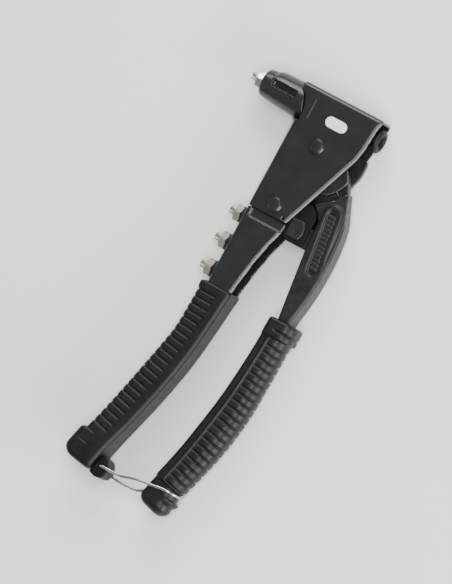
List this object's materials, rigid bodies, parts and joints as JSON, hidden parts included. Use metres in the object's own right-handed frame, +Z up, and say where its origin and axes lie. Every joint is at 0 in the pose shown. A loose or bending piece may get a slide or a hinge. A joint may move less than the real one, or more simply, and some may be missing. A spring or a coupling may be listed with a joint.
{
  "type": "hand riveter",
  "caption": "Long-handled hand rivet tool with folded steel head, tapered barrel, spare nosepieces on the fixed handle, cast lever, ribbed rubber grips and a wire latch.",
  "frame": {"origin": "centre of the far pivot rivet head's flat face, on the main pivot axis, in the plane the tool rests on when it lies on its side", "axes": "+X rearward along the barrel axis, +Y toward the top of the head (the handles hang toward -Y), +Z up, square to the tool's side, along the pivot axis"},
  "size_m": [0.1038, 0.269, 0.0218],
  "materials": {
    "body_paint": "semi-gloss black enamel",
    "black_parts": "satin black",
    "lever_casting": "satin black over a cast skin",
    "grip_rubber": "matte black, ribbed",
    "nickel": "nickel plated, faint yellow tint",
    "bright_steel": "bright drawn steel",
    "bush": "plain bronze",
    "label": "white"
  },
  "bodies": {
    "frame": {"head_shell": "body_paint", "barrel": "body_paint", "rear_plug": "black_parts", "head_label": "label", "pivot_rivet": "body_paint", "handle_rivet": "body_paint", "nosepiece_fitted": "nickel", "nosepiece_boss_1": "black_parts", "nosepiece_spare_1": "nickel", "nosepiece_boss_2": "black_parts", "nosepiece_spare_2": "nickel", "nosepiece_boss_3": "black_parts", "nosepiece_spare_3": "nickel", "return_spring": "bright_steel", "handle_channel": "body_paint", "stop_lug": "black_parts", "stop_plate": "lever_casting", "stop_pin": "black_parts", "fixed_grip": "grip_rubber", "latch_lug": "black_parts"},
    "jaw_case": {"jaw_case": "bright_steel", "jaw_1": "bright_steel", "jaw_2": "bright_steel", "jaw_3": "bright_steel", "jaw_pusher": "bright_steel", "pusher_spring": "bright_steel"},
    "lever": {"lever": "lever_casting", "pivot_bush": "bush", "lever_panel": "lever_casting", "lever_grip": "grip_rubber"},
    "latch": {"wire_latch": "bright_steel"}
  },
  "joints": [
    {"name": "lever_pivot", "type": "hinge", "parent": "frame", "child": "lever", "pos_m": [0, 0, 0.0109], "axis": [0, 0, -1], "range_deg": [-42, 0], "deforming": ["return_spring"]},
    {"name": "jaw_case_slide", "type": "slide", "parent": "frame", "child": "jaw_case", "axis": [1, 0, 0], "range_m": [-0.01334, 0]},
    {"name": "wire_latch_pivot", "type": "hinge", "parent": "frame", "child": "latch", "pos_m": [-0.0252, -0.2273, 0.0109], "axis": [0, 0, 1], "range_deg": [-85, 0]}
  ],
  "couplings": [
    {"joint": "jaw_case_slide", "follows": "lever_pivot", "m_per_rad": 0.0182}
  ]
}
